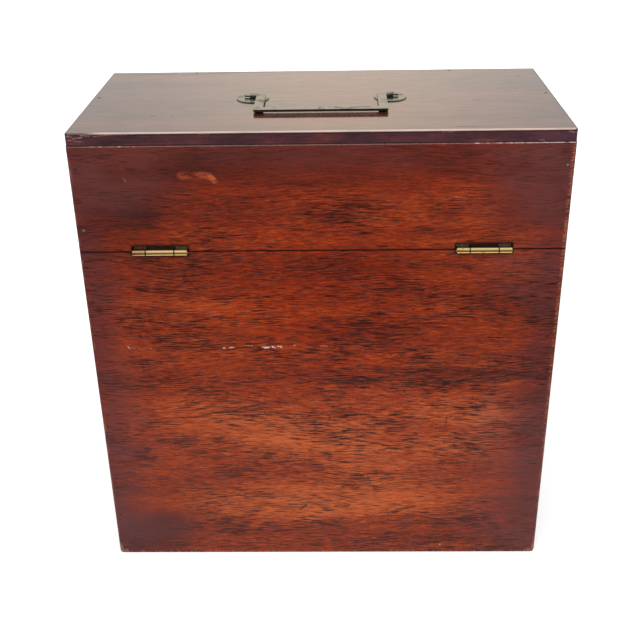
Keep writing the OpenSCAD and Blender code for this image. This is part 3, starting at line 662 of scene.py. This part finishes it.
# Worn streaks on the top board's back edge, from the left corner on
EDGE_WORN = [
    ((-138, 288.6), (-135, 288.4), 0.8, 0.7, 0.60), ((-134, 287.4), (-129, 287.8), 0.5, 0.4, 0.55),
    ((-130, 289.0), (-121, 288.4), 0.5, 0.4, 0.50), ((-120, 288.6), (-113, 289.2), 0.4, 0.3, 0.50),
    ((-133, 285.6), (-129, 285.4), 0.5, 0.4, 0.45), ((-137, 286.2), (-133, 286.8), 0.5, 0.4, 0.45),
    ((-116, 288.9), (-101, 289.3), 0.3, 0.3, 0.40), ((-66, 289.2), (-60, 289.0), 0.4, 0.3, 0.30),
    ((66, 288.8), (72, 289.0), 0.4, 0.3, 0.30), ((118, 283.9), (121, 283.9), 0.4, 0.3, 0.45),
    ((134, 288.6), (138, 287.6), 0.6, 0.5, 0.45),
]
# Colours of the top board, first along its ramps of tone
TOP_FACE = ((0.30, linear(60, 27, 28)), (0.5, linear(80, 35, 32)), (0.70, linear(104, 50, 38)))
TOP_EDGE = ((0.34, linear(48, 24, 32)), (0.50, linear(74, 33, 40)), (0.62, linear(92, 38, 38)),
            (0.78, linear(118, 62, 52)))
TOP_EDGE_RIGHT = linear(60, 40, 60)
TOP_PORE = linear(36, 14, 14)
# Painted shade under the rounded arris, and painted shadow along the joint below the board
TOP_ARRIS_AND_JOINT_SHADE = linear(30, 12, 14)
# Dark dents, also used as painted shade on the side and front rims
TOP_DENT_AND_RIM_SHADE = linear(40, 22, 24)
TOP_WORN = linear(172, 122, 114)
# Worn wood with a painted highlight along the back arris
TOP_LIP_WEAR_AND_HIGHLIGHT = linear(236, 206, 188)
TOP_SHEEN = (1.0, 0.88, 0.80, 1.0)

# Where masks on the top board start and end: as places in the box
UPPER_FACE = (TOP_Z - 0.5 * MM, TOP_Z - 0.1 * MM)
# Painted shade under the rounded arris, and painted shadow along the joint at the foot of the edge
UNDER_ARRIS_SHADE_LOW = (TOP_Z - 2.0 * MM, TOP_Z - 1.1 * MM)
UNDER_ARRIS_SHADE_HIGH = (TOP_Z - 0.5 * MM, TOP_Z - 0.9 * MM)
JOINT_SHADOW = (BOARD_Z + 1.0 * MM, BOARD_Z + 0.5 * MM)
# Painted shade on the side and front rims
SIDE_RIM_SHADE = (HALF_W - 1.6 * MM, HALF_W - 0.8 * MM, 0.0, 0.70)
FRONT_RIM_SHADE = (HALF_D - 2.4 * MM, HALF_D - 1.2 * MM, 0.0, 0.70)
BACK_EDGE = (BACK_Y + 3.0 * MM, BACK_Y + 1.5 * MM)
# The worn back lip with its painted highlight
LIP = (BACK_Y + 2.0 * MM, BACK_Y + 0.8 * MM, 0.0, 0.80)
LIP_START = (-130 * MM, -118 * MM)
EDGE_RIGHT = (100 * MM, 140 * MM, 0.0, 0.60)
# As levels of noise, and as the share of the surface that faces up
TOP_PORED = (0.56, 0.70, 0.0, 0.75)
EDGE_BROKEN = (0.38, 0.50)
WAXED = (0.30, 0.70, 0.69, 0.89)
LIP_FACING = (0.35, 0.70)


def top_board(name):
    """The faded, glossy top board with its dark edges."""
    g = new_graph(name)
    x, y, z = g.split(g.place)
    facing_up = g.split(g.normal)[2]
    tone = g.grain(g.place, "X", TOP_TONE_MARKS, 2.2, 2.0, 0.55)
    fibre = g.grain(g.place, "X", TOP_FIBRE_MARKS, 4.4, 3.0, 0.6)
    mottle = g.grain(g.place, "X", MOTTLE_MARKS, 9.4, 2.0, 0.6)
    shade = g.math("MULTIPLY_ADD", fibre, 1.0, 0.50)
    pores = g.remap(g.grain(wavy_grain(g), "X", PORE_MARKS, 3.4, 1.0), *TOP_PORED)
    face = g.mix(pores, g.ramp(tone, *TOP_FACE), TOP_PORE)
    edge = g.ramp(g.math("MULTIPLY_ADD", mottle, 0.7, g.math("MULTIPLY", tone, 0.3)), *TOP_EDGE)
    edge = g.mix(g.remap(x, *EDGE_RIGHT), edge, TOP_EDGE_RIGHT)
    upper = g.remap(z, *UPPER_FACE)
    colour = g.shaded(g.mix(upper, edge, face), shade)
    # Painted shade where the rounded arris turns under, and painted shadow along the joint below
    line = g.math("MULTIPLY", g.remap(z, *UNDER_ARRIS_SHADE_LOW), g.remap(z, *UNDER_ARRIS_SHADE_HIGH))
    joint_shadow = g.remap(z, *JOINT_SHADOW)
    colour = g.mix(g.math("MULTIPLY", g.math("MAXIMUM", line, joint_shadow), 0.75), colour, TOP_ARRIS_AND_JOINT_SHADE)

    rough_edge = g.even_noise(900)
    shake = g.math("MULTIPLY_ADD", rough_edge, SHAKE, -SHAKE / 2)
    seen_from_top = g.vector("ADD", g.vector("MULTIPLY", g.place, (1.0, 1.0, 0.0)),
                             g.join(0.0, shake, 0.0))
    dents_and_rim_shade = g.all_lines(seen_from_top, lines(TOP_DARK, on_top))
    # Painted shade along the side and front rims, joined with the dents
    rim = g.math("MAXIMUM", g.remap(g.math("ABSOLUTE", x), *SIDE_RIM_SHADE), g.remap(y, *FRONT_RIM_SHADE))
    dents_and_rim_shade = g.math("MAXIMUM", dents_and_rim_shade, rim)
    colour = g.mix(g.math("MULTIPLY", dents_and_rim_shade, upper), colour, TOP_DENT_AND_RIM_SHADE)
    seen_from_back = g.vector("ADD", g.vector("MULTIPLY", g.place, (1.0, 0.0, 1.0)),
                              g.join(0.0, 0.0, shake))
    worn = g.math("MULTIPLY", g.all_lines(seen_from_back, lines(EDGE_WORN, on_back)),
                  g.remap(rough_edge, *EDGE_BROKEN))
    near_back = g.remap(y, *BACK_EDGE)
    colour = g.mix(g.math("MULTIPLY", worn, near_back), colour, TOP_WORN)
    # The worn back lip with a painted highlight, on the part that faces up
    lip_wear_and_highlight = g.math("MULTIPLY", g.remap(y, *LIP), g.remap(facing_up, *LIP_FACING))
    lip_wear_and_highlight = g.math("MULTIPLY", g.math("MULTIPLY", lip_wear_and_highlight, g.remap(x, *LIP_START)),
                 g.math("MULTIPLY_ADD", mottle, 0.6, 0.5))
    colour = g.mix(lip_wear_and_highlight, colour, TOP_LIP_WEAR_AND_HIGHLIGHT)

    relief = g.math("MULTIPLY_ADD", dents_and_rim_shade, -1.0, g.math("MULTIPLY", fibre, 0.08))
    rough = g.math("MULTIPLY_ADD", mottle, 0.24, 0.04)
    rough = g.math("MULTIPLY_ADD", g.math("MAXIMUM", dents_and_rim_shade, lip_wear_and_highlight), 0.5, rough)
    wax = g.remap(mottle, *WAXED)
    wax = g.math("MULTIPLY_ADD", g.math("MAXIMUM", dents_and_rim_shade, lip_wear_and_highlight), -0.6, wax)
    return g.surface(Base_Color=colour, Roughness=rough, Specular_IOR_Level=0.8,
                     Specular_Tint=TOP_SHEEN, Coat_Weight=wax, Coat_Roughness=0.04,
                     Normal=g.bump(relief, TOP_RELIEF))


def plain_wood(name, axis, dark, light):
    """Unpolished wood for the parts that are out of sight or inside."""
    g = new_graph(name)
    tone = g.grain(g.place, axis, PLAIN_TONE_MARKS, 6.1, 3.0, 0.6)
    fibre = g.grain(g.place, axis, PLAIN_FIBRE_MARKS, 2.6, 2.0, 0.6)
    colour = g.mix(g.remap(tone, 0.3, 0.7), dark, light)
    colour = g.shaded(colour, g.math("MULTIPLY_ADD", fibre, 0.7, 0.65))
    return g.surface(Base_Color=colour, Roughness=g.math("MULTIPLY_ADD", tone, 0.2, 0.5),
                     Normal=g.bump(fibre, PLAIN_RELIEF))


# Painted shade in the gaps between a hinge's knuckles: its colour and width
KNUCKLE_GAP_SHADE = linear(40, 24, 12)
KNUCKLE_GAP_WIDTH = (0.5 * MM, 0.25 * MM, 0.0, 0.90)


def metal(name, clean, aged, aging, rough, painted_light_by_facing=None, patches=None, knuckle_gap_shade_at=None, metallic=1.0):
    """A metal with a cloudy patina and fine scuffs.

    Its colour can be painted lighter where it faces up and darker where it faces down, as painted
    light and shade, soft patches can have a patina of their own, and painted shade can darken the
    gaps between knuckles at given distances from the middle of a hinge.
    """
    g = new_graph(name)
    cloud = g.even_noise(170, 4.0, 0.65)
    scuff = g.noise(g.vector("MULTIPLY", g.place, SCUFFS))
    old = g.remap(g.math("MULTIPLY_ADD", scuff, 0.3, cloud), 0.90 - 0.5 * aging, 1.05 - 0.5 * aging)
    colour = g.mix(g.math("MULTIPLY", old, 0.85), clean, aged)
    # Painted light and shade: lighter where the metal faces up, darker where it faces down
    if painted_light_by_facing:
        facing_up = g.math("MULTIPLY_ADD", cloud, 0.16, g.split(g.normal)[2])
        shares = g.ramp(g.math("MULTIPLY_ADD", facing_up, 0.5, 0.42), *painted_light_by_facing)
        colour = g.mix(1.0, colour, shares, "MULTIPLY")
    if patches:
        where, patch_colour = patches
        colour = g.mix(g.math("MULTIPLY", g.patches(g.place, where), cloud), colour, patch_colour)
    # Painted shade in the gaps between the knuckles
    if knuckle_gap_shade_at:
        along = from_hinge(g, g.split(g.place)[0])
        off = g.math("ABSOLUTE", g.math("SUBTRACT", along, knuckle_gap_shade_at))
        colour = g.mix(g.remap(off, *KNUCKLE_GAP_WIDTH), colour, KNUCKLE_GAP_SHADE)
    return g.surface(Base_Color=colour, Metallic=metallic,
                     Roughness=g.math("MULTIPLY_ADD", old, 0.16, rough),
                     Normal=g.bump(g.math("MULTIPLY_ADD", scuff, 0.5, cloud), METAL_RELIEF))


# Painted light and shade: shares of a metal's colour kept from the parts that face down to those
# that face up, darker below and with a painted highlight above
ALL_ROUND_PAINTED_LIGHT = ((0.0, grey(0.22)), (0.30, grey(0.30)), (0.50, grey(0.44)), (0.80, grey(0.9)),
             (0.90, grey(1.0)))
HINGE_PAINTED_LIGHT = ((0.0, grey(0.05)), (0.16, grey(0.10)), (0.26, (0.90, 0.62, 0.34, 1.0)),
           (0.44, (0.95, 0.80, 0.50, 1.0)), (0.66, (0.62, 0.52, 0.34, 1.0)),
           (0.82, (0.72, 0.64, 0.48, 1.0)), (0.91, grey(1.0)))


def felt(name):
    """Green baize with a short matted nap."""
    g = new_graph(name)
    nap = g.even_noise(1500, 3.0, 0.6)
    cloud = g.even_noise(45, 3.0, 0.6)
    colour = g.mix(g.remap(cloud, 0.3, 0.7), linear(24, 62, 40), linear(40, 84, 54))
    colour = g.shaded(colour, g.math("MULTIPLY_ADD", nap, 0.9, 0.55))
    return g.surface(Base_Color=colour, Roughness=0.95, Specular_IOR_Level=0.2, Sheen_Weight=0.35,
                     Sheen_Roughness=0.5, Normal=g.bump(nap, NAP_RELIEF))


def wear_material(node_names, material):
    for node_name in node_names:
        for material_slot in NODES[node_name].material_slots:
            material_slot.material = material


wear_material(["case_back", "lid_back"], board("mahogany_back", "X", True))
wear_material(["case_front", "lid_front"], board("mahogany_front", "X"))
wear_material(["case_left", "case_right", "lid_left", "lid_right"], board("mahogany_side", "Y"))
wear_material(["lid_top"], top_board("mahogany_top"))
wear_material(["case_bottom"],
              plain_wood("bottom_board", "X", linear(120, 84, 52), linear(160, 120, 78)))
wear_material(["cell_divider"],
              plain_wood("divider_wood", "Y", linear(96, 46, 28), linear(130, 70, 44)))
wear_material(["handle_plate_left", "handle_plate_right", "handle_plate_screws", "handle_bail"],
              metal("aged_brass", linear(152, 151, 139), linear(82, 79, 68), 0.50, 0.20,
                    painted_light_by_facing=ALL_ROUND_PAINTED_LIGHT))
HINGE_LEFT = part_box("hinge_lid_leaf_left")[0]
COPPERY = [((HINGE_LEFT.x, BACK_Y, LID_Z), (13 * MM, 10 * MM, 10 * MM), 1.8)]
wear_material(["hinge_case_leaf_left", "hinge_case_leaf_right", "hinge_lid_leaf_left",
               "hinge_lid_leaf_right", "hinge_pin_left", "hinge_pin_right", "hinge_case_screws",
               "hinge_lid_screws"],
              metal("hinge_brass", linear(252, 236, 188), linear(186, 158, 108), 0.40, 0.14,
                    painted_light_by_facing=HINGE_PAINTED_LIGHT, patches=(COPPERY, linear(176, 112, 80)),
                    knuckle_gap_shade_at=MID_KNUCKLE_HALF))
wear_material(["lock_plate", "lock_cap", "lock_screws", "keyhole_liner", "link_plate",
               "link_plate_screws"],
              metal("lock_brass", linear(206, 178, 116), linear(140, 112, 66), 0.35, 0.28))
wear_material(["lock_drill_pin", "lock_stumps", "lock_bolt"],
              metal("lock_steel", linear(150, 148, 146), linear(88, 76, 66), 0.4, 0.30))
wear_material(["case_corner_brads", "case_bottom_brads", "lid_corner_brads", "lid_top_brads"],
              metal("brad_steel", linear(128, 118, 112), linear(84, 70, 64), 0.4, 0.45,
                    metallic=0.3))


# Wax stopping over the brads

STOPPING_SIDES = 16
BARE_BRADS = [(-135 * MM, 234 * MM), (135 * MM, 270 * MM)]
SAME_BRAD = 3 * MM
OVER_HEAD = 0.02 * MM
RIM_SUNK = 0.04 * MM
DISH_SUNK = 0.10 * MM
DISH_SHARE = 0.6


def islands(mesh_data):
    """The lowest and highest corners of each loose piece of a mesh."""
    mesh = bmesh.new()
    mesh.from_mesh(mesh_data)
    bmesh.ops.remove_doubles(mesh, verts=mesh.verts, dist=0.001 * MM)
    seen = set()
    boxes = []
    for start in mesh.verts:
        if start in seen:
            continue
        seen.add(start)
        island, queue = [], [start]
        while queue:
            vert = queue.pop()
            island.append(vert.co.copy())
            for edge in vert.link_edges:
                other = edge.other_vert(vert)
                if other not in seen:
                    seen.add(other)
                    queue.append(other)
        low = Vector([min(point[i] for point in island) for i in range(3)])
        high = Vector([max(point[i] for point in island) for i in range(3)])
        boxes.append((low, high))
    mesh.free()
    return boxes


def stopping(name, node, body):
    """A dark wax filling, slightly dished, in the hole over each brad's head but the bare ones."""
    skin = {0: HALF_W, 1: HALF_D, 2: TOP_Z}
    mesh = bmesh.new()
    for low, high in islands(NODES[node].data):
        size = high - low
        axis = max(range(3), key=lambda i: size[i])
        middle = (low + high) / 2
        side = 1 if middle[axis] > 0 else -1
        if any(abs(middle.x - x) < SAME_BRAD and abs(middle.z - z) < SAME_BRAD and middle.y < 0
               for x, z in BARE_BRADS):
            continue
        across = [i for i in range(3) if i != axis]
        radius = max(size[i] for i in across) / 2
        head = high[axis] if side > 0 else low[axis]
        rings = []
        for share, depth in ((1.0, abs(head) + OVER_HEAD), (1.0, skin[axis] - RIM_SUNK),
                             (DISH_SHARE, skin[axis] - DISH_SUNK)):
            ring = []
            for i in range(STOPPING_SIDES):
                angle = 2 * math.pi * i / STOPPING_SIDES
                point = middle.copy()
                point[axis] = side * depth
                point[across[0]] += radius * share * math.cos(angle)
                point[across[1]] += radius * share * math.sin(angle)
                ring.append(mesh.verts.new(point))
            rings.append(ring)
        for first, second in zip(rings, rings[1:]):
            for i in range(STOPPING_SIDES):
                j = (i + 1) % STOPPING_SIDES
                mesh.faces.new((first[i], first[j], second[j], second[i]))
        mesh.faces.new(reversed(rings[0]))
        mesh.faces.new(rings[-1])
    data = closed_mesh(name, mesh)
    data.materials.append(WAX)
    piece = new_object(name, data)
    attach(piece, body)


WAX = plain_wood("dark_wax", "X", linear(58, 28, 26), linear(84, 40, 32))
stopping("case_brad_stopping", "case_corner_brads", "case")
stopping("lid_brad_stopping", "lid_corner_brads", "lid")
stopping("top_brad_stopping", "lid_top_brads", "lid")


# Baize panels

PANEL_STEP = 2.0 * MM
RIM_SHARE = 0.75
CROWN_SHARE = 0.92
WAVE_SHARE = 0.07
WAVE_SCALE = 32
WAVE_SEED = 4.0
SEAT_RADIUS = 44 * MM
SEAT_SOFT = 2 * MM
PRESSED_SHARE = 0.12


def rim_steps(low, high, rim):
    """Places across a panel, close together near its two edges."""
    close = [low + rim * (1 - math.cos(math.radians(angle))) for angle in range(0, 91, 15)]
    count = max(1, round((high - low - 2 * rim) / PANEL_STEP))
    middle = [low + rim + (high - low - 2 * rim) * i / count for i in range(1, count)]
    return close + middle + [low + high - place for place in reversed(close)]


def baize_panel(name, node, body, faces_up, pressed_share):
    """A baize panel in the room of its node, with a rolled rim and a wavy face.

    Where a decanter stands, that share of its thickness is pressed in.
    """
    low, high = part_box(node)
    thick = high.z - low.z
    rim = RIM_SHARE * thick
    seat = low.z if faces_up else high.z
    side = 1 if faces_up else -1
    xs = rim_steps(low.x, high.x, rim)
    ys = rim_steps(low.y, high.y, rim)
    middle = (low + high) / 2

    def height(x, y):
        inset = min(x - low.x, high.x - x, y - low.y, high.y - y)
        rise = math.sqrt(max(0.0, 1 - (1 - min(inset / rim, 1.0)) ** 2))
        where = Vector((x * WAVE_SCALE, y * WAVE_SCALE, WAVE_SEED))
        wave = noise.noise(where) * WAVE_SHARE
        reach = math.hypot(x - middle.x, y - middle.y)
        outside_seat = 1 / (1 + math.exp(-(reach - SEAT_RADIUS) / SEAT_SOFT))
        pressed = pressed_share * (1 - outside_seat)
        return thick * rise * (CROWN_SHARE + wave - pressed)

    mesh = bmesh.new()
    upper = [[mesh.verts.new((x, y, seat + side * height(x, y))) for y in ys] for x in xs]
    lower = [[mesh.verts.new((x, y, seat)) for y in ys[1:-1]] for x in xs[1:-1]]

    def at_seat(i, j):
        edge = i in (0, len(xs) - 1) or j in (0, len(ys) - 1)
        return upper[i][j] if edge else lower[i - 1][j - 1]

    for i in range(len(xs) - 1):
        for j in range(len(ys) - 1):
            corners = ((i, j), (i + 1, j), (i + 1, j + 1), (i, j + 1))
            mesh.faces.new([upper[a][b] for a, b in corners])
            mesh.faces.new([at_seat(a, b) for a, b in reversed(corners)])
    data = closed_mesh(name, mesh)
    data.materials.append(BAIZE)
    for polygon in data.polygons:
        polygon.use_smooth = True
    panel = new_object(name, data)
    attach(panel, body)
    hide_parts(node)


BAIZE = felt("green_baize")
baize_panel("baize_pad_left", "cell_pad_left", "case", True, PRESSED_SHARE)
baize_panel("baize_pad_right", "cell_pad_right", "case", True, PRESSED_SHARE)
baize_panel("baize_lid_panel", "lid_lining", "lid", False, 0.0)


# Floor, light and camera

FLOOR_HALF = 8.0
FLOOR_DROP = 0.1 * MM
# How much of the floor reflections lose, from near the middle of the box to farther off
MIRROR_LOSS = (0.250, 0.345, 0.0, -0.9)
# How much of its own light the floor shows, near the box and far off, and how pale it is
FLOOR_GLOW = (0.5, 1.6, 0.55, 1.0)
FLOOR_PALE = 0.62
SOFT_COLOUR = (0.94, 0.97, 1.0, 1.0)
SOFT_STRENGTH = 0.55
WHITE = grey(1.0)
DIM_ROOM = grey(0.20)
WARM_GLOW = (1.0, 0.88, 0.74, 1.0)
PALE_GLOW = (0.72, 0.68, 0.63, 1.0)
# Where in the room it is dim and where it glows, as parts of a direction from the box
DIM_Y = (-0.25, -0.70)
DIM_Z = (0.62, 0.22)
GLOW_X = (0.02, 0.24)
GLOW_Y = (0.10, 0.60)
GLOW_Z = (0.75, 0.35)
LAMP_TARGET = (0.0, 0.0, 0.15)
# Name, place, size and power of each lamp
LAMPS = [("key", (-0.9, -1.5, 1.5), 1.2, 26.0), ("fill", (1.3, -0.9, 1.1), 1.2, 10.0),
         ("rear", (0.2, 1.6, 1.3), 1.4, 14.0)]


def light_path(g):
    return g.tree.nodes.new("ShaderNodeLightPath").outputs


def camera_or_mirror(g):
    """1 for rays from the camera, a reflection or glass, and 0 for light that falls on things."""
    path = light_path(g)
    seen = g.math("MAXIMUM", path["Is Camera Ray"], path["Is Glossy Ray"])
    return g.math("MAXIMUM", seen, path["Is Transmission Ray"])


def make_world():
    """Soft light all round, white to look at, with a darker room in reflections of the back."""
    world = bpy.data.worlds.new("studio")
    bpy.context.scene.world = world
    g = Graph(world, "ShaderNodeOutputWorld")
    soft = g.tree.nodes.new("ShaderNodeBackground")
    white = g.tree.nodes.new("ShaderNodeBackground")
    both = g.tree.nodes.new("ShaderNodeMixShader")
    soft.inputs["Color"].default_value = SOFT_COLOUR
    soft.inputs["Strength"].default_value = SOFT_STRENGTH
    x, y, z = g.split(g.direction)
    mirrored = light_path(g)["Is Glossy Ray"]
    room = g.math("MULTIPLY", g.remap(y, *DIM_Y), g.remap(z, *DIM_Z))
    warm = g.math("MULTIPLY", g.remap(y, *GLOW_Y), g.remap(z, *GLOW_Z))
    glow = g.mix(g.remap(g.math("ABSOLUTE", x), *GLOW_X), WARM_GLOW, PALE_GLOW)
    shown = g.mix(g.math("MULTIPLY", room, mirrored), WHITE, DIM_ROOM)
    shown = g.mix(g.math("MULTIPLY", warm, mirrored), shown, glow)
    g.put(white.inputs["Color"], shown)
    g.put(both.inputs[0], camera_or_mirror(g))
    g.put(both.inputs[1], soft.outputs[0])
    g.put(both.inputs[2], white.outputs[0])
    g.put(g.output.inputs[0], both.outputs[0])


def floor_material():
    """A pale floor, of which reflections show only the part near the box brightly."""
    g = new_graph("white_floor")
    diffuse = g.tree.nodes.new("ShaderNodeBsdfDiffuse")
    glow = g.tree.nodes.new("ShaderNodeEmission")
    both = g.tree.nodes.new("ShaderNodeAddShader")
    reach = g.vector("LENGTH", g.vector("MULTIPLY", g.place, (1.0, 1.0, 0.0)))
    lost = g.remap(reach, *MIRROR_LOSS)
    fade = g.math("MULTIPLY_ADD", light_path(g)["Is Glossy Ray"], lost, 1.0)
    seen = g.math("MULTIPLY", camera_or_mirror(g), g.remap(reach, *FLOOR_GLOW))
    g.put(glow.inputs["Strength"], g.math("MULTIPLY", seen, fade))
    pale = g.math("MULTIPLY", fade, FLOOR_PALE)
    g.put(diffuse.inputs["Color"], g.join(pale, pale, pale))
    g.put(both.inputs[0], diffuse.outputs[0])
    g.put(both.inputs[1], glow.outputs[0])
    g.put(g.output.inputs[0], both.outputs[0])
    return g.owner


def make_floor():
    half = FLOOR_HALF
    data = bpy.data.meshes.new("floor")
    corners = [(-half, -half, 0), (half, -half, 0), (half, half, 0), (-half, half, 0)]
    data.from_pydata(corners, [], [(0, 1, 2, 3)])
    data.materials.append(floor_material())
    floor = new_object("floor", data)
    floor.location.z = -FLOOR_DROP


def area_lamp(name, place, size, power):
    data = bpy.data.lights.new(name, "AREA")
    data.shape = "DISK"
    data.size = size
    data.energy = power
    lamp = new_object(name, data)
    lamp.location = place
    aim = Vector(LAMP_TARGET) - Vector(place)
    lamp.rotation_euler = aim.to_track_quat("-Z", "Y").to_euler()
    lamp.visible_glossy = False


def make_camera():
    data = bpy.data.cameras.new("camera")
    data.lens = CAMERA_LENS
    data.sensor_width = CAMERA_SENSOR
    data.clip_start = 0.01
    camera = new_object("camera", data)
    camera.location = CAMERA_PLACE
    camera.rotation_euler = [math.radians(angle) for angle in CAMERA_TURN_DEG]
    bpy.context.scene.camera = camera


make_world()
make_floor()
for lamp_row in LAMPS:
    area_lamp(*lamp_row)
make_camera()
bpy.context.scene.view_settings.view_transform = "Standard"
